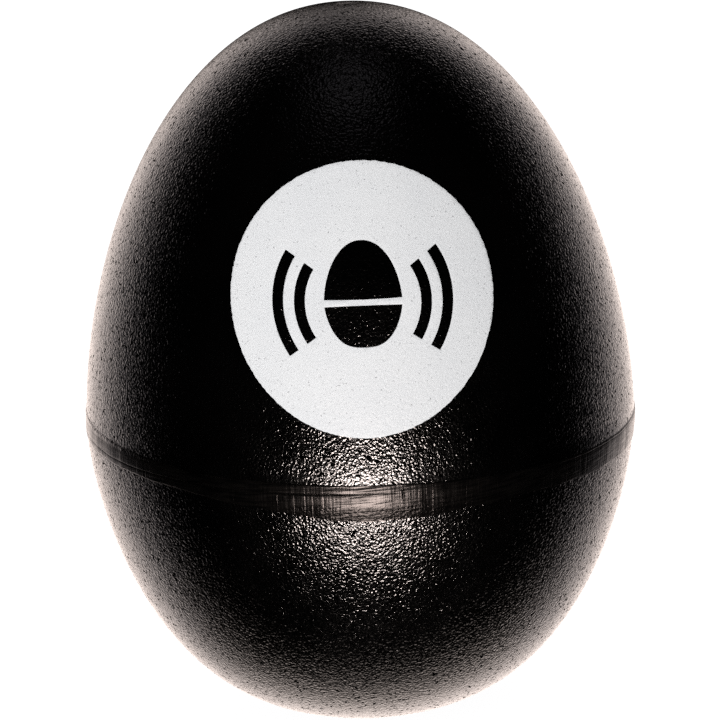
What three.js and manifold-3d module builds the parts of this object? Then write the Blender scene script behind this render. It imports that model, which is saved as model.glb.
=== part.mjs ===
// Egg shaker: two moulded half shells, spin-welded at the waist round loose steel shot.
// Millimetres, +Z up. The origin is the centre of the small flat foot at the blunt end,
// and the printed badge faces -Y.

import * as THREE from 'three';
import { mergeVertices } from 'three/addons/utils/BufferGeometryUtils.js';
import Module from 'manifold-3d';

const wasm = await Module();
wasm.setup();

// ---- Driving dimensions ----

const EGG_R = 22; // outside radius at the waist
const FOOT_R = 6; // flat at the blunt end
const WALL = 2;
const GAP = 0.3; // kept between pieces that touch or are melted together

// Each half narrows from the waist as r = EGG_R * (1 - (distance / length) ^ power) ^ root.
const BLUNT = { side: -1, length: 24.03, power: 1.568, root: 0.354 };
const NARROW = { side: 1, length: 33.24, power: 1.797, root: 0.47 };

const BAND_HALF = 1.6; // half the height of the weld band
const BAND_THICK = 0.85;
const BAND_PROUD = 0.12; // how far its middle stands out of the egg
const BAND_EDGE = 0.03; // how far its edges do

const TONGUE_RISE = 3; // of the blunt half's tongue, inside the narrow half
const TONGUE_ROOT = 3; // depth of its straight inner face below the waist
const TONGUE_THICK = 1;

const SHOT_D = 4.5;
const SHOT_COUNT = 50;
const TOUCH_TOLERANCE = 1e-6; // lets shot that exactly touches the wall count as inside

const BADGE_R = 9.77;
const BADGE_RISE = 14.15; // of the badge's centre above the waist
const INK_LIFT = 0.05; // between the shell and the ink
const INK_THICK = 0.1;

// The mark left bare in the ink: the egg's own outline between curved shake lines.
const MARK_EGG_HALF_WIDTH = 2.9;
const MARK_WAIST_LINE = 0.5;
const SHAKE_RADII = [4.7, 6.3];
const SHAKE_STROKE = 0.8;
const SHAKE_HALF_ANGLE = THREE.MathUtils.degToRad(34);

const TURN_SEGMENTS = 48;
const WALL_STEPS = 12; // of each half's profile, waist to pole
const SHOT_DETAIL = 1; // icosahedron subdivision
const OUTLINE_STEPS = 10;

// ---- Values that follow from them ----

const WAIST_Z = reach(BLUNT, FOOT_R);
const GROOVE_R = EGG_R - BAND_THICK - GAP;
const GROOVE_HALF = BAND_HALF + GAP;
const TONGUE_OUT_R = bulge(NARROW, TONGUE_RISE, WALL) - GAP;
const TONGUE_IN_R = TONGUE_OUT_R - TONGUE_THICK;
const SHOT_INSET = WALL + GAP + SHOT_D / 2;
const SHOT_PITCH = SHOT_D + GAP;
const SHOT_LAYER_RISE = SHOT_PITCH * Math.sqrt(2 / 3);

const blackShell = { color: 0x111112, roughness: 0.5, metalness: 0 };
const materials = {
  shell: () => new THREE.MeshStandardMaterial(blackShell),
  weld: () => new THREE.MeshStandardMaterial({ color: 0x1a1919, roughness: 0.38, metalness: 0 }),
  ink: () => new THREE.MeshStandardMaterial({ color: 0xe6e7ea, roughness: 0.6, metalness: 0 }),
  steel: () => new THREE.MeshStandardMaterial({ color: 0xb4b4b2, roughness: 0.25, metalness: 1 }),
};

// ---- Egg profile ----

/** Radius of a half at a distance from the waist, on the surface an inset inside the egg. */
function bulge(half, distance, inset = 0) {
  const share = Math.min(distance / (half.length - inset), 1);
  return (EGG_R - inset) * (1 - share ** half.power) ** half.root;
}

/** Distance from the waist at which a half has the given radius: the inverse of bulge. */
function reach(half, radius, inset = 0) {
  const share = radius / (EGG_R - inset);
  return (half.length - inset) * (1 - share ** (1 / half.root)) ** (1 / half.power);
}

/** Profile points of a half between two distances from the waist, closest near the pole. */
function wallLine(half, from, to, inset = 0) {
  const length = half.length - inset;
  const start = Math.asin(Math.min(from / length, 1));
  const end = Math.asin(Math.min(to / length, 1));
  return Array.from({ length: WALL_STEPS + 1 }, (_, step) => {
    const distance = length * Math.sin(THREE.MathUtils.lerp(start, end, step / WALL_STEPS));
    return new THREE.Vector2(bulge(half, distance, inset), WAIST_Z + half.side * distance);
  });
}

/** Turns a profile of (radius, height) points about +Z. */
function turned(profile) {
  return new THREE.LatheGeometry(profile, TURN_SEGMENTS).rotateX(Math.PI / 2);
}

/** A (radius, height) point, with its height measured from the waist. */
function fromWaist(radius, height) {
  return new THREE.Vector2(radius, WAIST_Z + height);
}

// ---- Booleans ----

/** A manifold solid of a closed geometry. */
function toSolid(geometry) {
  const bare = geometry.clone();
  bare.deleteAttribute('normal');
  bare.deleteAttribute('uv');
  const merged = mergeVertices(bare);
  const corners = merged.index.array;
  const kept = [];
  for (let i = 0; i < corners.length; i += 3) {
    const [a, b, c] = corners.slice(i, i + 3);
    if (a !== b && b !== c && c !== a) kept.push(a, b, c);
  }
  const vertProperties = new Float32Array(merged.attributes.position.array);
  const triVerts = new Uint32Array(kept);
  return new wasm.Manifold(new wasm.Mesh({ numProp: 3, vertProperties, triVerts }));
}

/** The geometry of a manifold solid. */
function toGeometry(solid) {
  const mesh = solid.getMesh();
  const geometry = new THREE.BufferGeometry();
  geometry.setAttribute('position', new THREE.BufferAttribute(mesh.vertProperties, 3));
  geometry.setIndex(new THREE.BufferAttribute(mesh.triVerts, 1));
  geometry.computeVertexNormals();
  return geometry;
}

// ---- Shells and weld ----

/** The blunt half, with its flat foot, half of the weld groove and the locating tongue. */
function lowerShell() {
  const tongueChamfer = TONGUE_ROOT + TONGUE_THICK;
  return turned([
    new THREE.Vector2(0, 0),
    ...wallLine(BLUNT, WAIST_Z, GROOVE_HALF),
    fromWaist(GROOVE_R, -GROOVE_HALF),
    fromWaist(GROOVE_R, -GAP / 2),
    fromWaist(TONGUE_OUT_R, -GAP / 2),
    fromWaist(TONGUE_OUT_R, TONGUE_RISE),
    fromWaist(TONGUE_IN_R, TONGUE_RISE),
    fromWaist(TONGUE_IN_R, -TONGUE_ROOT),
    ...wallLine(BLUNT, tongueChamfer, BLUNT.length - WALL, WALL),
  ]);
}

/** The narrow half, whose plain rim slips over the tongue. */
function upperShell() {
  return turned([
    ...wallLine(NARROW, NARROW.length - WALL, GAP / 2, WALL),
    fromWaist(GROOVE_R, GAP / 2),
    fromWaist(GROOVE_R, GROOVE_HALF),
    ...wallLine(NARROW, GROOVE_HALF, NARROW.length),
  ]);
}

/** The ring of re-melted plastic that joins the halves, trimmed almost flush. */
function weldBand() {
  const innerR = GROOVE_R + GAP;
  return turned([
    fromWaist(innerR, -BAND_HALF),
    fromWaist(bulge(BLUNT, BAND_HALF) + BAND_EDGE, -BAND_HALF),
    fromWaist(EGG_R + BAND_PROUD, 0),
    fromWaist(bulge(NARROW, BAND_HALF) + BAND_EDGE, BAND_HALF),
    fromWaist(innerR, BAND_HALF),
    fromWaist(innerR, -BAND_HALF),
  ]);
}

// ---- Printed badge ----

/** The narrow half as a filled dome, grown outwards. */
function dome(growth) {
  const line = wallLine(NARROW, GROOVE_HALF, NARROW.length, -growth);
  const base = new THREE.Vector2(0, line[0].y);
  return toSolid(turned([base, ...line, new THREE.Vector2(0, line.at(-1).y)]));
}

/** One half of the mark's egg, with the waist line left between it and the other half. */
function markHalfEgg(half) {
  const scale = MARK_EGG_HALF_WIDTH / EGG_R;
  const waist = MARK_WAIST_LINE / 2 / scale;
  const rightSide = Array.from({ length: OUTLINE_STEPS + 1 }, (_, step) => {
    const share = Math.sin((step / OUTLINE_STEPS) * (Math.PI / 2));
    const distance = THREE.MathUtils.lerp(waist, half.length, share);
    return new THREE.Vector2(bulge(half, distance), half.side * distance).multiplyScalar(scale);
  });
  const leftSide = rightSide.slice(0, -1).reverse();
  return new THREE.Path([...rightSide, ...leftSide.map((point) => new THREE.Vector2(-point.x, point.y))]);
}

/** One curved shake line, on the right at angle 0 and on the left at half a turn. */
function shakeLine(radius, angle) {
  const path = new THREE.Path();
  const start = angle - SHAKE_HALF_ANGLE;
  const end = angle + SHAKE_HALF_ANGLE;
  path.absarc(0, 0, radius + SHAKE_STROKE / 2, start, end, false);
  path.absarc(0, 0, radius - SHAKE_STROKE / 2, end, start, true);
  path.closePath();
  return path;
}

/** The round film of ink on the narrow half, printed straight along +Y. */
function printedBadge() {
  const outline = new THREE.Shape();
  outline.absarc(0, 0, BADGE_R, 0, 2 * Math.PI, false);
  outline.holes.push(markHalfEgg(BLUNT), markHalfEgg(NARROW));
  for (const radius of SHAKE_RADII) {
    outline.holes.push(shakeLine(radius, 0), shakeLine(radius, Math.PI));
  }
  const options = { depth: EGG_R + 1, bevelEnabled: false, curveSegments: OUTLINE_STEPS };
  const beam = new THREE.ExtrudeGeometry(outline, options)
    .rotateX(Math.PI / 2)
    .translate(0, 0, WAIST_Z + BADGE_RISE);
  const skin = dome(INK_LIFT + INK_THICK).subtract(dome(INK_LIFT));
  return toGeometry(skin.intersect(toSolid(beam)));
}

// ---- Shot ----

/** Close-packed centres in one layer, nearest the axis first. */
function layerCentres(layer, layerZ) {
  const roomR = bulge(BLUNT, WAIST_Z - layerZ, SHOT_INSET);
  const rowRise = SHOT_PITCH * Math.sin(Math.PI / 3);
  const shift = layer % 2 === 0 ? 0 : SHOT_PITCH / Math.sqrt(3);
  const reachRows = Math.ceil(roomR / rowRise) + 1;
  const centres = [];
  for (let row = -reachRows; row <= reachRows; row += 1) {
    for (let column = -2 * reachRows; column <= 2 * reachRows; column += 1) {
      const x = (column + row / 2) * SHOT_PITCH;
      const y = row * rowRise + shift;
      if (Math.hypot(x, y) < roomR + TOUCH_TOLERANCE) centres.push(new THREE.Vector3(x, y, layerZ));
    }
  }
  return centres.sort((a, b) => Math.hypot(a.x, a.y) - Math.hypot(b.x, b.y));
}

/** Centres of all the shot, resting in the blunt half, lowest layer first. */
function shotCentres() {
  const lowestZ = WAIST_Z - reach(BLUNT, SHOT_PITCH, SHOT_INSET);
  const centres = [];
  for (let layer = 0; centres.length < SHOT_COUNT; layer += 1) {
    centres.push(...layerCentres(layer, lowestZ + layer * SHOT_LAYER_RISE));
  }
  return centres.slice(0, SHOT_COUNT);
}

// ---- Assembly ----

const group = new THREE.Group();

function addPiece(name, geometry, material) {
  const piece = new THREE.Mesh(geometry, material);
  piece.name = name;
  group.add(piece);
  return piece;
}

addPiece('lower_shell', lowerShell(), materials.shell());
addPiece('upper_shell', upperShell(), materials.shell());
addPiece('weld_band', weldBand(), materials.weld());
addPiece('printed_badge', printedBadge(), materials.ink());

shotCentres().forEach((centre, index) => {
  const ball = new THREE.IcosahedronGeometry(SHOT_D / 2, SHOT_DETAIL);
  const name = `shot_${String(index + 1).padStart(2, '0')}`;
  addPiece(name, ball, materials.steel()).position.copy(centre);
});

export default group;
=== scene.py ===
import math

import bmesh
import bpy
import numpy as np
from mathutils import Matrix, Vector
from mathutils.geometry import delaunay_2d_cdt


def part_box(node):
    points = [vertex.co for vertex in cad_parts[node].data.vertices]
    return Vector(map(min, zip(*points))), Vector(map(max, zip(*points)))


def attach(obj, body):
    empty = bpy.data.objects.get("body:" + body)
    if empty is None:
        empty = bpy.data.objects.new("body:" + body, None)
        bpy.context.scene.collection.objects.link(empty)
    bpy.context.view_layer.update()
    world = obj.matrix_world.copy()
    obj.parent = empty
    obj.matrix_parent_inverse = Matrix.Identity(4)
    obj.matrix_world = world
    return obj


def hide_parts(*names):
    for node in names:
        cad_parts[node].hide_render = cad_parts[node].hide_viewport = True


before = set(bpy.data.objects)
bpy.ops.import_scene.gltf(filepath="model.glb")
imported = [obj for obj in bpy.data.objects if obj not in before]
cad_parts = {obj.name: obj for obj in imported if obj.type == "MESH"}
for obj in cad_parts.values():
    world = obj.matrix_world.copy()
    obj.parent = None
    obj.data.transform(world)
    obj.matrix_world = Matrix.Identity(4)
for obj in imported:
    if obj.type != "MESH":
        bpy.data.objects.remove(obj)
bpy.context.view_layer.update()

# The egg shaker's looks: fine meshes and materials for the two shells, the weld, the print and the shot.
# Shapes are worked out in millimetres, with heights measured from the waist, and turned into metres last.
MM = 0.001

# ---- Shape of the egg: r = EGG_R * (1 - (distance / length) ** power) ** root, from the waist ----

NARROW_POWER, NARROW_ROOT = 1.797, 0.47
BLUNT_POWER, BLUNT_ROOT = 1.568, 0.354
FOOT_R = 6.0
BAND_PROUD = 0.12
WALL = 2.0

band_low, band_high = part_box("weld_band")
WAIST_Z = (band_low.z + band_high.z) / 2 / MM
EGG_R = band_high.x / MM - BAND_PROUD
NARROW_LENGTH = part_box("upper_shell")[1].z / MM - WAIST_Z
BLUNT_LENGTH = WAIST_Z / (1 - (FOOT_R / EGG_R) ** (1 / BLUNT_ROOT)) ** (1 / BLUNT_POWER)

RIM_HALF = 0.15  # half the gap between the rims, which the weld's root fills
TONGUE_RISE, TONGUE_DROP, TONGUE_THICK, SLIP = 3.0, 3.0, 1.0, 0.3
TONGUE_BEVEL = 0.2
POLE_CUT = 0.02  # left off the narrow pole, where its gate mark begins
POLE_GATE = ((0.6, -0.03), (0.5, -0.06), (0.0, -0.05))  # (radius, height from the narrow pole)
FOOT_GATE = ((0.0, 0.02), (0.7, 0.03), (0.8, 0.17), (1.35, 0.16), (1.45, 0.0))  # the same from the foot
SHELL_SEGMENTS = 400
INNER_STEPS, NARROW_STEPS, BLUNT_STEPS = 40, 130, 110

# ---- Weld: heights are from the waist, and azimuths are 0 at the front and positive towards +X ----

WELD_SEGMENTS = 1400
WELD_ROWS_BELOW, WELD_ROWS_ABOVE = 16, 10
CROWDING_BELOW, CROWDING_ABOVE = 1.6, 0.7  # powers that draw the rows towards both edges
LINE_ROWS = (-2, -1.4, -1, -0.5, 0, 0.5, 1, 1.4, 2)  # rows over the joint line, in its half widths
CREASE_REACH, CREASE_COLUMNS = 2, 7  # columns at each crease, and how many half widths they reach
NICK_REACH, NICK_COLUMNS = 5, 31
WELD_ROOT_R = 21.15
WELD_ROOT_HALF = 0.13
WELD_CLEAR = 0.004  # between the weld's skin and the shells
EDGE_FRONT_HALF = 0.4  # half the width, in radians, of what the edges do at the front
LOW_HEIGHT, LOW_TILT, LOW_DIP, DIP_AZIMUTH = -1.0, 0.75, 1.1, -0.03
LINE_HEIGHT, LINE_ARCH, LINE_FRONT = 0.1, 0.15, 0.04
HIGH_HEIGHT, HIGH_TILT, HIGH_LEFT, HIGH_FRONT = 0.6, 0.3, 0.7, 0.2
LEFT_POWER = 1.5
EDGE_WAVE, EDGE_FRAY, LINE_WAVE = 0.06, 0.03, 0.03
HIGH_RAGGED = 0.5  # how ragged the upper edge is beside the lower one
LEAST_BELOW, LEAST_ABOVE = 0.3, 0.2  # least height of the strip on each side of the joint line
LIP_HEIGHT, LIP_WIDTH = 0.04, 0.12  # the step along the skin's edges
LIP_FRONT_HALF, LIP_NARROWED, LIP_LOWERED = 0.6, 0.6, 0.85  # how the step softens at the front
MOTTLE = 0.38  # share of the grain left in the strip's lower part at the front
MOTTLE_FRONT_HALF = 0.5
MOTTLE_START, MOTTLE_FULL, MOTTLE_RAGGED = 0.4, 0.58, 0.05  # shares of the way down from the joint line
MARGIN_BELOW, MARGIN_ABOVE, MARGIN_LEFT = 0.95, 0.92, 0.7  # shares of the way, where the grain comes back
WELD_SWELL = 0.03  # how far the skin swells between its edges
SWELL_ABOVE = 0.45  # how much of the swell is lost towards the upper edge
CHATTER_DEPTH = 0.012
CREASE_COUNT = 220
CREASE_HEIGHT, CREASE_HALF = 0.011, 0.03
CREASE_ABOVE = 0.4  # share of a crease's height over the joint line
RUBBED_AZIMUTH, RUBBED_HALF, RUBBED = 0.06, 0.16, 0.6  # where the blade rubbed most creases away
LINE_DEPTH = 0.07
LINE_HALF = 0.045
OPEN_AZIMUTH, OPEN_HALF = math.radians(-12), 0.25  # where the joint line is most open
OPEN_LEAST, OPEN_MEAN, OPEN_MORE, OPEN_WAVE = 0.05, 0.35, 0.65, 0.5
NICK_AZIMUTH = math.radians(6.2)
NICK_HALF, NICK_SLANT = 0.065, 0.07
NICK_FOOT, NICK_TOP = (-0.85, -0.7), (0.35, 0.25)  # heights where the nick fades out and is full
BURR_HEIGHT, BURR_HALF = 0.045, 0.08  # the ridge that the nick is cut through

# ---- Print ----

BADGE_R = 9.77
BADGE_RISE = 14.15
INK_LOW, INK_HIGH = 0.012, 0.06
INK_EDGE = 0.035  # the film's height along its edges
INK_GRID = 0.2
INK_GRID_CLEAR = 0.55  # of the grid's step, kept free along the outlines
SAME_POINT = 1e-6
INK_RAGGED = 0.025
MARK_EGG_HALF_WIDTH = 2.9
MARK_WAIST_LINE = 0.5
MARK_STEPS, SHAKE_STEPS, BADGE_STEPS = 28, 30, 600
BADGE_KNOTS = 300
SHAKE_RADII = (4.7, 6.3)
SHAKE_STROKE = 0.8
SHAKE_HALF_ANGLE = math.radians(34)

# ---- Surfaces: scales are features to the millimetre, depths are millimetres ----

NOISE_SPAN = (0.3, 0.7)  # where nearly all values of the noise lie
MIDDLE_SPAN = (0.35, 0.65)
GRAIN_SCALE = 5.0
GRAIN_DEPTH = 0.069
PIT_SCALE = 3.4
PIT_SHARE = 0.12
# the second span is where painted shade in the pits, a lowered specular level, sets in
PIT_SPAN, PAINTED_PIT_SHADE_SPAN = (0.28, 0.44), (0.34, 0.39)
COARSER_HALF, COARSER_ABOVE = 0.5, 0.92  # the grain's change of depth over the waist
SOFT_FROM, SOFT_TO, SOFTENED = 1.9, 1.0, 0.6  # heights above the waist where the grain softens
PLASTIC_IOR, INK_IOR = 1.5, 1.45
PLASTIC_SPECULAR = 0.5
GRAINED_TONES = ((0.0003, 0.0003, 0.0003, 1), (0.0007, 0.0006, 0.0006, 1))
GRAINED_ROUGHNESS = (0.14, 0.18)
SCRAPED_TONES = ((0.0007, 0.0006, 0.0006, 1), (0.002, 0.0016, 0.0014, 1))
SCRAPED_ROUGHNESS = (0.17, 0.22)
SCRAPED_ROUGHER = 0.05  # added where the grain is scraped away
SCRAPED_SPECULAR, DULLED_SPECULAR = 0.165, 0.09075  # clean, and where some of the grain is left
DULLED_SPAN, MOULDED_SPAN = (0.0, 0.4), (0.5, 1.0)  # shares of the grain left
WORN = (0.7, 1.25)  # least and most light from the scraped strip, patch by patch
SCRAPED_TINT = (1.0, 0.93, 0.9, 1)
STROKE_LEAN = math.radians(4)
BLADE_STRETCH, STROKE_STRETCH, WORN_STRETCH = (5, 5, 0.3), (0.4, 0.4, 5), (1.2, 1.2, 4)
BLADE_DEPTH, STROKE_DEPTH = 0.02, 0.03
INK_TONES = ((0.85, 0.855, 0.865, 1), (0.88, 0.882, 0.887, 1))
PINHOLE_TONE = (0.45, 0.45, 0.46, 1)
PINHOLE_SPAN = (0.31, 0.25)
INK_ROUGHNESS = (0.5, 0.62)
STEEL_TONES = ((0.42, 0.42, 0.41, 1), (0.62, 0.62, 0.60, 1))
STEEL_ROUGHNESS = (0.18, 0.36)
SCUFF_DEPTH = 0.004
FLOOR_TONES = ((0.27, 0.27, 0.27, 1), (0.29, 0.29, 0.29, 1))
FLOOR_ROUGHNESS, FLOOR_GLOW = 0.8, 0.97
WHITE, BLACK = (1, 1, 1, 1), (0, 0, 0, 1)

# ---- Camera and light ----

CAMERA_DISTANCE = 264.0
CAMERA_ELEVATION = math.radians(16.3)
CAMERA_AZIMUTH = math.radians(-1.43)
CAMERA_ROLL = math.radians(-1.95)
AIM_RISE, AIM_SIDE = 4.4, 0.11
SENSOR = 36.0
LENS = 163.75
CLIP = (0.01, 20.0)

# Spans below are cosines of the angle from a glow's middle: where it begins, and where it is full.
SWEEP_ELEVATION = math.radians(-13.5)
SWEEP_SPAN = (0.22, 1.0)
SWEEP_STRENGTH = 2.25
WARM_SPAN = (-0.3, -0.8)  # heights of direction over which the light from below turns warm
GAP_SIDE, GAP_HALF_WIDTH = 0.012, 0.27  # the dark gap in the sweep, which the egg's front mirrors
GAP_TOP, GAP_FOOT = 0.61, -0.3
GAP_SPAN = (0.42, 1.15)
GROUND_AZIMUTH, GROUND_ELEVATION = math.radians(172), math.radians(-60)
GROUND_SPAN = (0.86, 0.99)
GROUND_STRENGTH = 1.15
PANEL_ELEVATION = math.radians(86)
PANEL_SPAN = (0.965, 0.995)
PANEL_STRENGTH = 0.35
OVERHEAD_PLACE, OVERHEAD_SIZE, OVERHEAD_POWER = (0, -0.1, 0.9), (1.4, 1.4), 6.3
FILL_PLACE, FILL_SIZE, FILL_POWER = (-0.45, -0.85, 0.45), (0.7, 0.7), 4.15
OVERHEAD_COLOUR, FILL_COLOUR = (1, 1, 1), (0.98, 0.99, 1.0)
LAMP_AZIMUTH = math.radians(-0.2)
LAMP_ELEVATION = math.radians(-22.5)
LAMP_DISTANCE = 0.6
LAMP_SIZE = (0.265, 0.145)
LAMP_POWER = 6.6
FLAG_TOP_GAP, FLAG_FOOT_GAP = 29.0, 13.0  # between the two cards that shade the sides from the low lamp
FLAG_WIDTH = 40.0
FLAG_LOW, FLAG_HIGH = -4.0, 33.0
FLAG_FRONT = 24.0
WARM = (1.0, 0.86, 0.79, 1)
COOL = (0.98, 0.92, 1.0, 1)
LAMP_COLOUR = (1.0, 0.87, 0.81)
FLOOR_SIZE, DOME_R = 6.0, 2.9
DOME_SEGMENTS, DOME_RINGS = 64, 32


def egg_radius(height, inset=0.0):
    """Radius of the egg at heights above the waist, on the surface an inset inside it."""
    height = np.asarray(height, float)
    above = height > 0
    length = np.where(above, NARROW_LENGTH, BLUNT_LENGTH) - inset
    power = np.where(above, NARROW_POWER, BLUNT_POWER)
    root = np.where(above, NARROW_ROOT, BLUNT_ROOT)
    share = np.clip(np.abs(height) / length, 0, 1)
    return (EGG_R - inset) * (1 - share**power) ** root


def wall_line(start, end, steps, inset=0.0):
    """(radius, height) points of the wall between two heights on one side, closest near the pole."""
    length = (NARROW_LENGTH if end + start > 0 else -BLUNT_LENGTH)
    length -= math.copysign(inset, length)
    angles = np.linspace(*(math.asin(min(h / length, 1)) for h in (start, end)), steps)
    heights = length * np.sin(angles)
    return np.stack([egg_radius(heights, inset), heights], 1)


# ---- Meshes ----


def mesh_piece(name, points_mm, faces, material, sharp_angle=35):
    """A smooth-shaded piece from points in millimetres with heights from the waist."""
    points = (np.asarray(points_mm, float) + (0, 0, WAIST_Z)) * MM
    mesh = bpy.data.meshes.new(name)
    mesh.from_pydata(points.tolist(), [], faces)
    mesh.validate()
    mesh.shade_smooth()
    mesh.set_sharp_from_angle(angle=math.radians(sharp_angle))
    mesh.materials.append(material)
    piece = bpy.data.objects.new(name, mesh)
    bpy.context.scene.collection.objects.link(piece)
    return piece


def ring_faces(rows, segments, closed):
    """Quads between rows of a turned grid, whose point index is row * segments + segment."""
    last = rows if closed else rows - 1
    row = np.arange(last)[:, None]
    turn = np.arange(segments)[None, :]
    after = (turn + 1) % segments
    above = (row + 1) % rows
    corners = [(row, turn), (row, after), (above, after), (above, turn)]
    return np.stack([at * segments + place for at, place in corners], -1).reshape(-1, 4).tolist()


def turned_piece(name, profile, material):
    """A profile of (radius, height) points, with both ends on the axis, turned about +Z."""
    inner = np.asarray(profile[1:-1])
    turn = np.linspace(0, 2 * math.pi, SHELL_SEGMENTS, endpoint=False)
    x = inner[:, :1] * np.cos(turn)
    y = inner[:, :1] * np.sin(turn)
    z = np.repeat(inner[:, 1:], SHELL_SEGMENTS, 1)
    points = np.stack([x, y, z], -1).reshape(-1, 3).tolist()
    faces = ring_faces(len(inner), SHELL_SEGMENTS, closed=False)
    first, last = len(points), len(points) + 1
    points += [(0, 0, profile[0][1]), (0, 0, profile[-1][1])]
    top_row = (len(inner) - 1) * SHELL_SEGMENTS
    for step in range(SHELL_SEGMENTS):
        after = (step + 1) % SHELL_SEGMENTS
        faces.append((first, after, step))
        faces.append((last, top_row + step, top_row + after))
    return mesh_piece(name, points, faces, material)


def upper_shell(material):
    """The narrow half: inner wall down to its plain rim, outer wall up to the gate mark at the pole."""
    top = NARROW_LENGTH
    inner = wall_line(top - WALL, RIM_HALF, INNER_STEPS, WALL)
    outer = wall_line(RIM_HALF, top - POLE_CUT, NARROW_STEPS)
    gate = [(radius, top + height) for radius, height in POLE_GATE]
    return turned_piece("egg_upper_shell", np.vstack([inner, outer, gate]), material)


def lower_shell(material):
    """The blunt half: foot with its gate mark, outer wall, rim, tongue and inner wall."""
    foot = -WAIST_Z
    tongue_out = float(egg_radius(TONGUE_RISE, WALL)) - SLIP
    tongue_in = tongue_out - TONGUE_THICK
    gate = [(radius, foot + height) for radius, height in FOOT_GATE]
    outer = wall_line(foot, -RIM_HALF, BLUNT_STEPS)
    tongue = [
        (tongue_out, -RIM_HALF),
        (tongue_out, TONGUE_RISE - TONGUE_BEVEL),
        (tongue_out - TONGUE_BEVEL, TONGUE_RISE),
        (tongue_in, TONGUE_RISE),
        (tongue_in, -TONGUE_DROP),
    ]
    inner = wall_line(-TONGUE_DROP - TONGUE_THICK, WALL - BLUNT_LENGTH, INNER_STEPS, WALL)
    return turned_piece("egg_lower_shell", np.vstack([gate, outer, tongue, inner]), material)


# ---- Weld ----


def wander(turn, knots, seed):
    """Smooth random values between -1 and 1 round the egg, the same each run."""
    values = np.random.default_rng(seed).uniform(-1, 1, knots)
    place = turn / (2 * math.pi) * knots
    low = np.floor(place).astype(int)
    blend = (1 - np.cos((place - low) * math.pi)) / 2
    return values[low % knots] * (1 - blend) + values[(low + 1) % knots] * blend


def creases():
    """Angles and heights, from -1 to 1, of the upright ridges and grooves that the scraping blade left."""
    random = np.random.default_rng(11)
    widths = random.uniform(0.4, 1.6, CREASE_COUNT)
    places = np.cumsum(widths) / widths.sum() * 2 * math.pi
    return places, random.uniform(-1, 1, CREASE_COUNT)


def bell(value, middle, half_width):
    """1 at the middle, falling smoothly to nothing a few half widths away."""
    return np.exp(-(((value - middle) / half_width) ** 2))


def rise(value, start, end):
    """0 up to the start, 1 from the end, and smooth between."""
    share = np.clip((value - start) / (end - start), 0, 1)
    return share * share * (3 - 2 * share)


def weld_turns():
    """Angles of the weld's columns: even all round, and close together at the creases and the nick."""
    even = np.linspace(0, 2 * math.pi, WELD_SEGMENTS, endpoint=False)
    near_crease = np.linspace(-CREASE_REACH, CREASE_REACH, CREASE_COLUMNS) * CREASE_HALF / EGG_R
    near_nick = np.linspace(-NICK_REACH, NICK_REACH, NICK_COLUMNS) * NICK_HALF / EGG_R
    by_crease = creases()[0][:, None] + near_crease
    by_nick = NICK_AZIMUTH - math.pi / 2 + near_nick
    turns = np.sort(np.concatenate([even, by_crease.ravel(), by_nick]) % (2 * math.pi))
    gaps = np.diff(turns, append=turns[0] + 2 * math.pi)
    return turns[gaps > CREASE_HALF / 6 / EGG_R]


def weld_edges(azimuth):
    """Heights of the scraped strip's lower edge, joint line and upper edge at azimuths from the front."""
    turn = azimuth % (2 * math.pi)
    sideways = np.sin(azimuth)
    ragged = EDGE_WAVE * wander(turn, knots=60, seed=1) + EDGE_FRAY * wander(turn, knots=420, seed=2)
    front = bell(azimuth, 0, EDGE_FRONT_HALF)
    dip = bell(azimuth, DIP_AZIMUTH, EDGE_FRONT_HALF)
    left = np.clip(-sideways, 0, 1) ** LEFT_POWER
    low = LOW_HEIGHT - LOW_TILT * sideways - LOW_DIP * dip + ragged
    line = LINE_HEIGHT + LINE_ARCH * sideways**2 + LINE_FRONT * front
    line = line + LINE_WAVE * wander(turn, knots=90, seed=3)
    high = HIGH_HEIGHT - HIGH_TILT * sideways + HIGH_LEFT * left + HIGH_FRONT * front + HIGH_RAGGED * ragged
    return np.minimum(low, line - LEAST_BELOW), line, np.maximum(high, line + LEAST_ABOVE)


def weld_rows(low, line, high):
    """Heights of the skin's rows: close together along both edges and over the joint line."""
    across = np.array(LINE_ROWS) * LINE_HALF
    below = np.linspace(0, 1, WELD_ROWS_BELOW, endpoint=False) ** CROWDING_BELOW
    above = np.linspace(1, 0, WELD_ROWS_ABOVE, endpoint=False)[::-1] ** CROWDING_ABOVE
    lower = low + np.outer(below, line + across[0] - low)
    middle = line + across[:, None]
    upper = line + across[-1] + np.outer(above, high - line - across[-1])
    return np.vstack([lower, middle, upper])


def crease_height(turn, azimuth, height, line):
    """Height of the creases, as a share of CREASE_HEIGHT, before the lips fade them out."""
    places, heights = creases()
    from_crease = (turn[:, None] - places + math.pi) % (2 * math.pi) - math.pi
    crease = (bell(from_crease * EGG_R, 0, CREASE_HALF) * heights).sum(1)
    rubbed = RUBBED * bell(azimuth, RUBBED_AZIMUTH, RUBBED_HALF)
    return crease * np.where(height < line, 1.0, CREASE_ABOVE) * (1 - rubbed)


def line_groove(turn, azimuth, height, line):
    """Depth of the groove along the joint line, as a share of LINE_DEPTH."""
    open_line = OPEN_MEAN + OPEN_MORE * bell(azimuth, OPEN_AZIMUTH, OPEN_HALF)
    open_line = open_line + OPEN_WAVE * wander(turn, knots=31, seed=8)
    return bell(height, line, LINE_HALF) * np.clip(open_line, OPEN_LEAST, 1)


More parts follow.
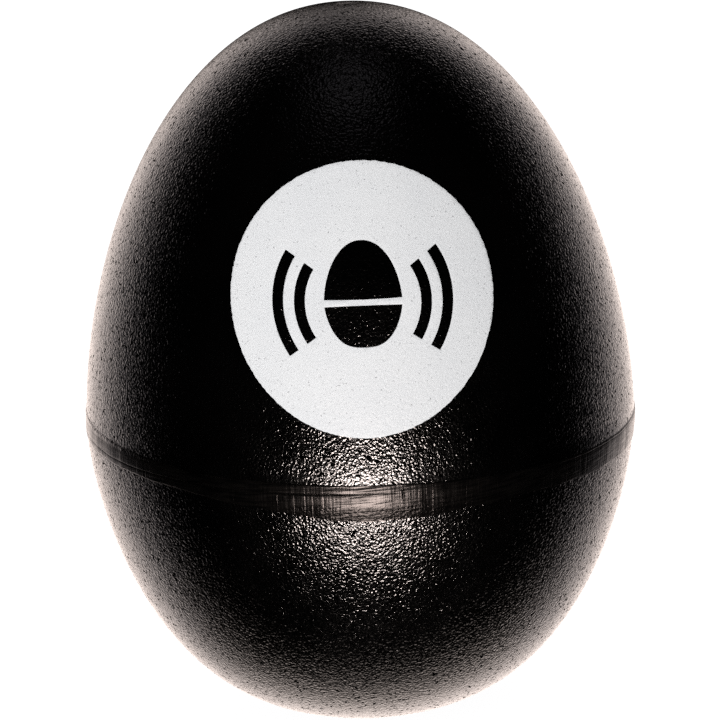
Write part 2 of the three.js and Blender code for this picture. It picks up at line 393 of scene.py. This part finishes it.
def weld_skin(turn, azimuth, height, low, line, high):
    """How proud the scraped skin stands, with its lips, creases, joint line and nick."""
    share = np.where(height < line, (line - height) / (line - low), (height - line) / (high - line))
    front = bell(azimuth, 0, LIP_FRONT_HALF)
    lip = rise(np.minimum(height - low, high - height), 0, LIP_WIDTH * (1 - LIP_NARROWED * front))
    lip_height = LIP_HEIGHT * (1 - LIP_LOWERED * front)
    swell = WELD_SWELL * (1 - np.where(height < line, 1.0, SWELL_ABOVE) * share**2)
    chatter = CHATTER_DEPTH * wander(turn, knots=170, seed=6)
    skin = (lip_height + swell + chatter) * lip
    skin += CREASE_HEIGHT * crease_height(turn, azimuth, height, line) * lip
    skin -= LINE_DEPTH * line_groove(turn, azimuth, height, line)
    from_nick = (azimuth - NICK_AZIMUTH) * EGG_R + NICK_SLANT * height
    along_nick = rise(height, *NICK_FOOT) * rise(-height, *(-end for end in NICK_TOP))
    nick = np.clip(1 - np.abs(from_nick) / NICK_HALF, 0, 1) * along_nick
    skin = np.maximum(skin, 0) + BURR_HEIGHT * bell(from_nick, 0, BURR_HALF) * along_nick
    return WELD_CLEAR + skin * (1 - nick)


def weld_grain(azimuth, height, low, line, high):
    """How much of the mould grain is left: all outside the strip, and some in its soft margins."""
    front = bell(azimuth, 0, MOTTLE_FRONT_HALF)
    left = np.clip(-np.sin(azimuth), 0, 1)
    below = (line - height) / (line - low)
    above = (height - line) / (high - line)
    ragged = MOTTLE_RAGGED * wander(azimuth % (2 * math.pi), knots=300, seed=9)
    mottled = MOTTLE * front * rise(below + ragged, MOTTLE_START, MOTTLE_FULL)
    lower = np.maximum(rise(below, MARGIN_BELOW, 1.0), mottled)
    return np.where(height < line, lower, rise(above, MARGIN_ABOVE - MARGIN_LEFT * left, 1.0))


def weld_band(material):
    """The weld: a thin scraped skin over both rims, with a root between them."""
    turn = weld_turns()
    azimuth = (turn + math.pi / 2 + math.pi) % (2 * math.pi) - math.pi
    low, line, high = weld_edges(azimuth)
    height = weld_rows(low, line, high)
    grain = weld_grain(azimuth, height, low, line, high)
    radius = egg_radius(height) + weld_skin(turn, azimuth, height, low, line, high)
    under = [
        (egg_radius(RIM_HALF) + WELD_CLEAR, RIM_HALF),
        (WELD_ROOT_R, WELD_ROOT_HALF),
        (WELD_ROOT_R, -WELD_ROOT_HALF),
        (egg_radius(-RIM_HALF) + WELD_CLEAR, -RIM_HALF),
    ]
    radius = np.vstack([radius] + [np.broadcast_to(r, turn.shape) for r, _ in under])
    height = np.vstack([height] + [np.broadcast_to(h, turn.shape) for _, h in under])
    points = np.stack([radius * np.cos(turn), radius * np.sin(turn), height], -1).reshape(-1, 3)
    faces = ring_faces(len(radius), len(turn), closed=True)
    piece = mesh_piece("egg_weld_band", points, faces, material, sharp_angle=50)
    kept = np.ones(len(points))
    kept[: grain.size] = grain.ravel()
    piece.data.attributes.new("grain", "FLOAT", "POINT").data.foreach_set("value", kept)
    return piece


# ---- Print ----


def circle_points(radius, start, end, steps):
    """Points along an arc about the origin."""
    angles = np.linspace(start, end, steps)
    return np.stack([radius * np.cos(angles), radius * np.sin(angles)], 1)


def mark_half_egg(side):
    """Outline of one half of the mark's egg, on the side of the waist that side says."""
    scale = MARK_EGG_HALF_WIDTH / EGG_R
    length = NARROW_LENGTH if side > 0 else BLUNT_LENGTH
    angles = np.linspace(0, math.pi / 2, MARK_STEPS)
    waist = MARK_WAIST_LINE / 2 / scale
    heights = side * (waist + (length - waist) * np.sin(angles))
    right = np.stack([egg_radius(heights), heights], 1) * scale
    left = right[-2::-1] * (-1, 1)
    return np.vstack([right, left])


def shake_line(radius, middle):
    """Outline of one curved shake line."""
    start, end = middle - SHAKE_HALF_ANGLE, middle + SHAKE_HALF_ANGLE
    outer = circle_points(radius + SHAKE_STROKE / 2, start, end, SHAKE_STEPS)
    inner = circle_points(radius - SHAKE_STROKE / 2, end, start, SHAKE_STEPS)
    return np.vstack([outer, inner])


def inside_loops(points, loops):
    """True for each point that an odd number of loops surround."""
    inside = np.zeros(len(points), bool)
    x, y = points[:, 0], points[:, 1]
    for loop in loops:
        for (ax, ay), (bx, by) in zip(loop, np.roll(loop, -1, 0)):
            spans = (ay > y) != (by > y)
            if ay != by:
                inside ^= spans & (x < (bx - ax) * (y - ay) / (by - ay) + ax)
    return inside


def badge_loops():
    """Outlines of the ink film and of the bare mark inside it, on the badge's own plane."""
    turn = np.linspace(0, 2 * math.pi, BADGE_STEPS, endpoint=False)
    edge = BADGE_R + INK_RAGGED * wander(turn, BADGE_KNOTS, seed=4)
    loops = [np.stack([edge * np.cos(turn), edge * np.sin(turn)], 1), mark_half_egg(1), mark_half_egg(-1)]
    return loops + [shake_line(radius, middle) for radius in SHAKE_RADII for middle in (0, math.pi)]


def ink_grid(loops):
    """Even points inside the film, clear of its outlines."""
    steps = np.arange(-BADGE_R, BADGE_R, INK_GRID)
    grid = np.stack(np.meshgrid(steps, steps), -1).reshape(-1, 2)
    grid = grid[inside_loops(grid, loops)]
    gaps = np.linalg.norm(grid[:, None] - np.vstack(loops), axis=2).min(1)
    return grid[gaps > INK_GRID * INK_GRID_CLEAR]


def border_edges(triangles):
    """Edges that only one triangle has, as sorted pairs."""
    edges = np.sort(np.vstack([triangles[:, pair] for pair in ([0, 1], [1, 2], [2, 0])]), 1)
    unique, times = np.unique(edges, axis=0, return_counts=True)
    return {tuple(edge) for edge in unique[times == 1].tolist()}


def printed_badge(material):
    """The film of white ink, with the mark left bare, wrapped on the narrow half."""
    loops = badge_loops()
    edges = []
    for loop in loops:
        first = len(edges)
        edges += [(first + step, first + (step + 1) % len(loop)) for step in range(len(loop))]
    flat = [Vector(point) for point in np.vstack([*loops, ink_grid(loops)])]
    verts, _, triangles, *_ = delaunay_2d_cdt(flat, edges, [], 0, SAME_POINT)
    plane = np.array([tuple(vert) for vert in verts])
    triangles = np.array(triangles)
    triangles = triangles[inside_loops(plane[triangles].mean(1), loops)]
    used, triangles = np.unique(triangles, return_inverse=True)
    plane, triangles = plane[used], triangles.reshape(-1, 3)
    border = border_edges(triangles)
    lift = np.full(len(plane), INK_HIGH)
    lift[[end for edge in border for end in edge]] = INK_EDGE
    top = wrapped(plane, lift)
    bottom = wrapped(plane, INK_LOW)
    faces = triangles.tolist() + (triangles[:, ::-1] + len(plane)).tolist()
    for a, b, c in triangles.tolist():
        for start, end in ((a, b), (b, c), (c, a)):
            if (min(start, end), max(start, end)) in border:
                faces.append((end, start, start + len(plane), end + len(plane)))
    return mesh_piece("egg_printed_badge", np.vstack([top, bottom]), faces, material, sharp_angle=60)


def wrapped(plane, lift):
    """Points of the badge's plane moved back on to the egg, raised by lift."""
    height = plane[:, 1] + BADGE_RISE
    radius = egg_radius(height) + lift
    return np.stack([plane[:, 0], -np.sqrt(radius**2 - plane[:, 0] ** 2), height], 1)


# ---- Shot ----


def shot(node, material):
    """A smooth steel ball where the CAD ball is."""
    low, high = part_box(node)
    mesh = bpy.data.meshes.new(f"egg_{node}")
    shape = bmesh.new()
    bmesh.ops.create_icosphere(shape, subdivisions=4, radius=(high.z - low.z) / 2)
    shape.to_mesh(mesh)
    shape.free()
    mesh.shade_smooth()
    mesh.materials.append(material)
    ball = bpy.data.objects.new(f"egg_{node}", mesh)
    ball.location = (low + high) / 2
    bpy.context.scene.collection.objects.link(ball)
    return ball


# ---- Materials ----


class Nodes:
    """A node tree, with short calls to add and join nodes."""

    def __init__(self, tree):
        self.tree = tree

    def add(self, kind, inputs=None, **settings):
        """A new node, whose inputs take values or other nodes' outputs."""
        node = self.tree.nodes.new(kind)
        for key, value in settings.items():
            setattr(node, key, value)
        for key, value in (inputs or {}).items():
            if isinstance(value, bpy.types.NodeSocket):
                self.tree.links.new(value, node.inputs[key])
            else:
                node.inputs[key].default_value = value
        return node

    def millimetres(self, scale=(1, 1, 1), lean=0.0):
        """Object coordinates in millimetres, leant over about Y and then stretched by scale."""
        place = self.add("ShaderNodeTexCoord").outputs["Object"]
        leant = self.add("ShaderNodeMapping", {"Vector": place, "Rotation": (0, lean, 0)}).outputs["Vector"]
        size = [value / MM for value in scale]
        return self.add("ShaderNodeMapping", {"Vector": leant, "Scale": size}).outputs["Vector"]

    def up(self):
        """Height above the ground in millimetres."""
        return self.add("ShaderNodeSeparateXYZ", {"Vector": self.millimetres()}).outputs["Z"]

    def noise(self, scale, detail=2.0, roughness=0.5, stretch=(1, 1, 1), lean=0.0):
        """Noise with scale features to the millimetre."""
        inputs = {
            "Vector": self.millimetres(stretch, lean),
            "Scale": scale,
            "Detail": detail,
            "Roughness": roughness,
        }
        return self.add("ShaderNodeTexNoise", inputs).outputs["Fac"]

    def ramp(self, value, span, to=(0.0, 1.0)):
        """The value mapped smoothly from a span on to another, and held at its ends."""
        inputs = {
            "Value": value,
            "From Min": span[0],
            "From Max": span[1],
            "To Min": to[0],
            "To Max": to[1],
        }
        return self.add("ShaderNodeMapRange", inputs, interpolation_type="SMOOTHSTEP").outputs["Result"]

    def math(self, operation, a, b):
        """One step of arithmetic on two values or outputs."""
        return self.add("ShaderNodeMath", {0: a, 1: b}, operation=operation).outputs["Value"]

    def bump(self, height, distance_mm, normal=None):
        """A normal bent by a height, on top of another normal if one is given."""
        inputs = {"Height": height, "Distance": distance_mm * MM, "Strength": 1.0}
        if normal is not None:
            inputs["Normal"] = normal
        return self.add("ShaderNodeBump", inputs).outputs["Normal"]

    def mix_colour(self, factor, a, b):
        """Colour a where the factor is 0, and b where it is 1."""
        node = self.add("ShaderNodeMix", data_type="RGBA")
        self.tree.links.new(factor, node.inputs["Factor"])
        for key, value in ((6, a), (7, b)):
            if isinstance(value, bpy.types.NodeSocket):
                self.tree.links.new(value, node.inputs[key])
            else:
                node.inputs[key].default_value = value
        return node.outputs[2]

    def set(self, shader, **values):
        """Sets the shader's sockets, named with _ for a space."""
        for key, value in values.items():
            socket = self.tree.nodes[shader].inputs[key.replace("_", " ")]
            if isinstance(value, bpy.types.NodeSocket):
                self.tree.links.new(value, socket)
            else:
                socket.default_value = value


def new_material(name):
    """A new material and the helper for its nodes."""
    material = bpy.data.materials.new(name)
    material.use_nodes = True
    return material, Nodes(material.node_tree)


def grain_height(nodes):
    """The spark-eroded mould grain: fine close ridges, with scattered deeper pits."""
    ridges = nodes.noise(GRAIN_SCALE, detail=1.0)
    pits = nodes.ramp(nodes.noise(PIT_SCALE, detail=1.0), PIT_SPAN)
    over_waist = (WAIST_Z - COARSER_HALF, WAIST_Z + COARSER_HALF)
    coarser = nodes.ramp(nodes.up(), over_waist, to=(1.0, COARSER_ABOVE))
    softened = nodes.ramp(nodes.up(), (WAIST_Z + SOFT_FROM, WAIST_Z + SOFT_TO), to=(1.0, SOFTENED))
    below = nodes.ramp(nodes.up(), (WAIST_Z, WAIST_Z - COARSER_HALF))
    softened = nodes.math("MAXIMUM", softened, below)
    height = nodes.math("ADD", ridges, nodes.math("MULTIPLY", pits, PIT_SHARE))
    return nodes.math("MULTIPLY", height, nodes.math("MULTIPLY", coarser, softened))


def painted_pit_shade(nodes):
    """Painted shade in the pits: specular level full between the pits, and low inside them, where little
    light gets out.
    """
    return nodes.ramp(nodes.noise(PIT_SCALE, detail=1.0), PAINTED_PIT_SHADE_SPAN, to=(0.0, PLASTIC_SPECULAR))


def grained_plastic():
    """Black moulded plastic with a fine spark-eroded grain."""
    material, nodes = new_material("grained_black_plastic")
    tone = nodes.ramp(nodes.noise(0.12, detail=3.0), MIDDLE_SPAN)
    nodes.set(
        "Principled BSDF",
        Base_Color=nodes.mix_colour(tone, *GRAINED_TONES),
        Roughness=nodes.ramp(nodes.noise(0.35, detail=3.0), NOISE_SPAN, to=GRAINED_ROUGHNESS),
        # painted shade in the pits, given through the specular level
        Specular_IOR_Level=painted_pit_shade(nodes),
        Normal=nodes.bump(grain_height(nodes), GRAIN_DEPTH),
        IOR=PLASTIC_IOR,
    )
    return material


def scraped_level(nodes, grain):
    """Specular level of the weld: scraped and dull, and with the shells' painted shade in the pits where the
    grain is whole.
    """
    dulled = nodes.ramp(grain, DULLED_SPAN, to=(SCRAPED_SPECULAR, DULLED_SPECULAR))
    patches = nodes.noise(1.0, detail=3.0, stretch=WORN_STRETCH, lean=STROKE_LEAN)
    worn = nodes.ramp(patches, NOISE_SPAN, to=WORN)
    clear = nodes.ramp(grain, MOULDED_SPAN, to=(1.0, 0.0))
    scraped = nodes.math("MULTIPLY", nodes.math("MULTIPLY", dulled, worn), clear)
    # where the grain is left, the shells' painted shade in the pits
    moulded = nodes.math("MULTIPLY", nodes.ramp(grain, MOULDED_SPAN), painted_pit_shade(nodes))
    return nodes.math("ADD", moulded, scraped)


def scraped_plastic():
    """The same plastic, melted and scraped smooth, with the grain coming back towards the strip's edges."""
    material, nodes = new_material("scraped_black_plastic")
    grain = nodes.add("ShaderNodeAttribute", attribute_name="grain").outputs["Fac"]
    smooth = nodes.math("SUBTRACT", 1.0, grain)
    blade = nodes.noise(1.0, detail=2.0, stretch=BLADE_STRETCH)
    strokes = nodes.noise(1.0, detail=1.0, roughness=0.6, stretch=STROKE_STRETCH, lean=STROKE_LEAN)
    normal = nodes.bump(nodes.math("MULTIPLY", grain_height(nodes), grain), GRAIN_DEPTH)
    normal = nodes.bump(nodes.math("MULTIPLY", blade, smooth), BLADE_DEPTH, normal)
    normal = nodes.bump(nodes.math("MULTIPLY", strokes, smooth), STROKE_DEPTH, normal)
    rough = nodes.ramp(strokes, NOISE_SPAN, to=SCRAPED_ROUGHNESS)
    nodes.set(
        "Principled BSDF",
        Base_Color=nodes.mix_colour(nodes.ramp(strokes, MIDDLE_SPAN), *SCRAPED_TONES),
        Roughness=nodes.math("ADD", nodes.math("MULTIPLY", smooth, SCRAPED_ROUGHER), rough),
        Specular_IOR_Level=scraped_level(nodes, grain),
        Specular_Tint=SCRAPED_TINT,
        Normal=normal,
        IOR=PLASTIC_IOR,
    )
    return material


def white_ink():
    """Matt white pad-print ink that follows the grain, with scattered pinholes."""
    material, nodes = new_material("white_print_ink")
    pinholes = nodes.ramp(nodes.noise(6.0, detail=1.0), PINHOLE_SPAN)
    cloud = nodes.ramp(nodes.noise(0.2, detail=2.0), NOISE_SPAN)
    white = nodes.mix_colour(cloud, *INK_TONES)
    nodes.set(
        "Principled BSDF",
        Base_Color=nodes.mix_colour(pinholes, white, PINHOLE_TONE),
        Roughness=nodes.ramp(nodes.noise(2.0), NOISE_SPAN, to=INK_ROUGHNESS),
        Normal=nodes.bump(grain_height(nodes), GRAIN_DEPTH / 2),
        IOR=INK_IOR,
    )
    return material


def shot_steel():
    """Tumbled steel, lightly scuffed."""
    material, nodes = new_material("shot_steel")
    scuffs = nodes.noise(3.0, detail=4.0, roughness=0.65)
    nodes.set(
        "Principled BSDF",
        Base_Color=nodes.mix_colour(scuffs, *STEEL_TONES),
        Metallic=1.0,
        Roughness=nodes.ramp(scuffs, NOISE_SPAN, to=STEEL_ROUGHNESS),
        Normal=nodes.bump(scuffs, SCUFF_DEPTH),
    )
    return material


def floor_paint():
    """Pale studio floor, lit through from below so that shadows on it stay faint."""
    material, nodes = new_material("pale_floor")
    nodes.set(
        "Principled BSDF",
        Base_Color=nodes.mix_colour(nodes.noise(0.01, detail=2.0), *FLOOR_TONES),
        Roughness=FLOOR_ROUGHNESS,
        Emission_Color=WHITE,
        Emission_Strength=FLOOR_GLOW,
    )
    return material


def backdrop_paper():
    """Even pale paper that glows, so that it needs no light of its own."""
    material, nodes = new_material("pale_backdrop")
    nodes.set("Principled BSDF", Base_Color=BLACK, Emission_Color=WHITE, Emission_Strength=1.0)
    return material


def black_card():
    """Dead black card."""
    material, nodes = new_material("black_card")
    nodes.set("Principled BSDF", Base_Color=BLACK, Roughness=1.0, Specular_IOR_Level=0.0)
    return material


# ---- Pieces ----

plastic = grained_plastic()
pieces = [
    (upper_shell(plastic), "upper_shell", "shell_black", "egg"),
    (lower_shell(plastic), "lower_shell", "shell_black", "egg"),
    (weld_band(scraped_plastic()), "weld_band", "weld_black", "egg"),
    (printed_badge(white_ink()), "printed_badge", "ink_white", "egg"),
]
steel = shot_steel()
for node in sorted(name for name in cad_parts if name.startswith("shot_")):
    pieces.append((shot(node, steel), node, "shot_steel", node))
for piece, node, slot, body in pieces:
    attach(piece, body)
    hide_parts(node)


# ---- Stage, camera and light ----


def only_seen(obj):
    """Keeps a stage object out of reflections and shadows."""
    obj.visible_glossy = False
    obj.visible_shadow = False


def floor():
    """The floor that the egg stands on."""
    bpy.ops.mesh.primitive_plane_add(size=FLOOR_SIZE, location=(0, 0, 0))
    plane = bpy.context.object
    plane.name = "stage_floor"
    plane.data.materials.append(floor_paint())
    only_seen(plane)


def backdrop():
    """A dome of paper round everything, which only the camera sees."""
    bpy.ops.mesh.primitive_uv_sphere_add(segments=DOME_SEGMENTS, ring_count=DOME_RINGS, radius=DOME_R)
    dome = bpy.context.object
    dome.name = "stage_backdrop"
    dome.data.materials.append(backdrop_paper())
    only_seen(dome)
    dome.visible_diffuse = False


def flag(side):
    """A black card close in front that keeps the low lamp's light off one side of the egg."""
    outline = [
        (FLAG_FOOT_GAP / 2, FLAG_LOW),
        (FLAG_WIDTH, FLAG_LOW),
        (FLAG_WIDTH, FLAG_HIGH),
        (FLAG_TOP_GAP / 2, FLAG_HIGH),
    ]
    corners = [(side * across, -FLAG_FRONT, height - WAIST_Z) for across, height in outline]
    name = "stage_flag_right" if side > 0 else "stage_flag_left"
    card = mesh_piece(name, corners, [(0, 1, 2, 3)], black_card())
    card.visible_camera = False
    card.visible_diffuse = False


def camera():
    """The view from a little above the waist, leant over a little."""
    waist = Vector((0, 0, WAIST_Z))
    flat = math.cos(CAMERA_ELEVATION) * CAMERA_DISTANCE
    place = waist + Vector(
        (
            flat * math.sin(CAMERA_AZIMUTH),
            -flat * math.cos(CAMERA_AZIMUTH),
            math.sin(CAMERA_ELEVATION) * CAMERA_DISTANCE,
        )
    )
    aim = waist + Vector((AIM_SIDE, 0, AIM_RISE))
    data = bpy.data.cameras.new("camera")
    data.sensor_width = SENSOR
    data.lens = LENS
    data.clip_start, data.clip_end = CLIP
    view = bpy.data.objects.new("camera", data)
    bpy.context.scene.collection.objects.link(view)
    level = (aim - place).to_track_quat("-Z", "Y").to_matrix().to_4x4()
    view.matrix_world = Matrix.Translation(place * MM) @ level @ Matrix.Rotation(CAMERA_ROLL, 4, "Z")
    bpy.context.scene.camera = view


def softbox(name, place, aim, size, power, colour, mirrored):
    """An area lamp that the plastic mirrors and nothing else sees, or one that only lights matt surfaces."""
    data = bpy.data.lights.new(name, "AREA")
    data.shape = "ELLIPSE" if mirrored else "RECTANGLE"
    data.size, data.size_y = size
    data.energy = power
    data.color = colour
    lamp = bpy.data.objects.new(name, data)
    lamp.location = place
    lamp.rotation_euler = (Vector(aim) - Vector(place)).to_track_quat("-Z", "Y").to_euler()
    lamp.visible_glossy = mirrored
    lamp.visible_diffuse = not mirrored
    lamp.visible_camera = False
    bpy.context.scene.collection.objects.link(lamp)


def direction(azimuth, elevation):
    """Unit vector, with azimuth 0 towards the front (-Y) and positive towards +X."""
    flat = math.cos(elevation)
    return Vector((flat * math.sin(azimuth), -flat * math.cos(azimuth), math.sin(elevation)))


def studio_world():
    """What the plastic mirrors: a warm sweep behind with a dark gap, the ground's glow and a faint panel."""
    world = bpy.data.worlds.new("studio")
    bpy.context.scene.world = world
    world.use_nodes = True
    nodes = Nodes(world.node_tree)
    toward = nodes.add("ShaderNodeTexCoord").outputs["Generated"]

    def along(axis):
        inputs = {0: toward, 1: axis}
        return nodes.add("ShaderNodeVectorMath", inputs, operation="DOT_PRODUCT").outputs["Value"]

    sweep = nodes.ramp(along(direction(math.pi, SWEEP_ELEVATION)), SWEEP_SPAN)
    up = along((0, 0, 1))
    warmth = nodes.math("MAXIMUM", sweep, nodes.ramp(up, WARM_SPAN))
    sweep = nodes.math("MULTIPLY", nodes.math("POWER", sweep, 2.0), SWEEP_STRENGTH)
    beside = nodes.math("DIVIDE", nodes.math("ADD", along((1, 0, 0)), GAP_SIDE), GAP_HALF_WIDTH)
    over = nodes.math("MAXIMUM", nodes.math("DIVIDE", up, GAP_TOP), nodes.math("DIVIDE", up, GAP_FOOT))
    squares = nodes.math("ADD", nodes.math("POWER", beside, 2.0), nodes.math("POWER", over, 2.0))
    gap = nodes.ramp(nodes.math("POWER", squares, 0.5), GAP_SPAN)
    ground = along(direction(GROUND_AZIMUTH, GROUND_ELEVATION))
    ground = nodes.ramp(ground, GROUND_SPAN, to=(0.0, GROUND_STRENGTH))
    panel = nodes.ramp(along(direction(0, PANEL_ELEVATION)), PANEL_SPAN, to=(0.0, PANEL_STRENGTH))
    light = nodes.math("ADD", nodes.math("MULTIPLY", sweep, gap), nodes.math("ADD", ground, panel))
    nodes.set("Background", Color=nodes.mix_colour(warmth, COOL, WARM), Strength=light)


floor()
backdrop()
flag(-1)
flag(1)
camera()
studio_world()
waist = Vector((0, 0, WAIST_Z * MM))
softbox("overhead", OVERHEAD_PLACE, waist, OVERHEAD_SIZE, OVERHEAD_POWER, OVERHEAD_COLOUR, mirrored=False)
softbox("front_fill", FILL_PLACE, waist, FILL_SIZE, FILL_POWER, FILL_COLOUR, mirrored=False)
low_front = waist + direction(LAMP_AZIMUTH, LAMP_ELEVATION) * LAMP_DISTANCE
softbox("low_front", low_front, waist, LAMP_SIZE, LAMP_POWER, LAMP_COLOUR, mirrored=True)
bpy.context.scene.view_settings.view_transform = "Standard"
bpy.context.scene.cycles.use_denoising = False
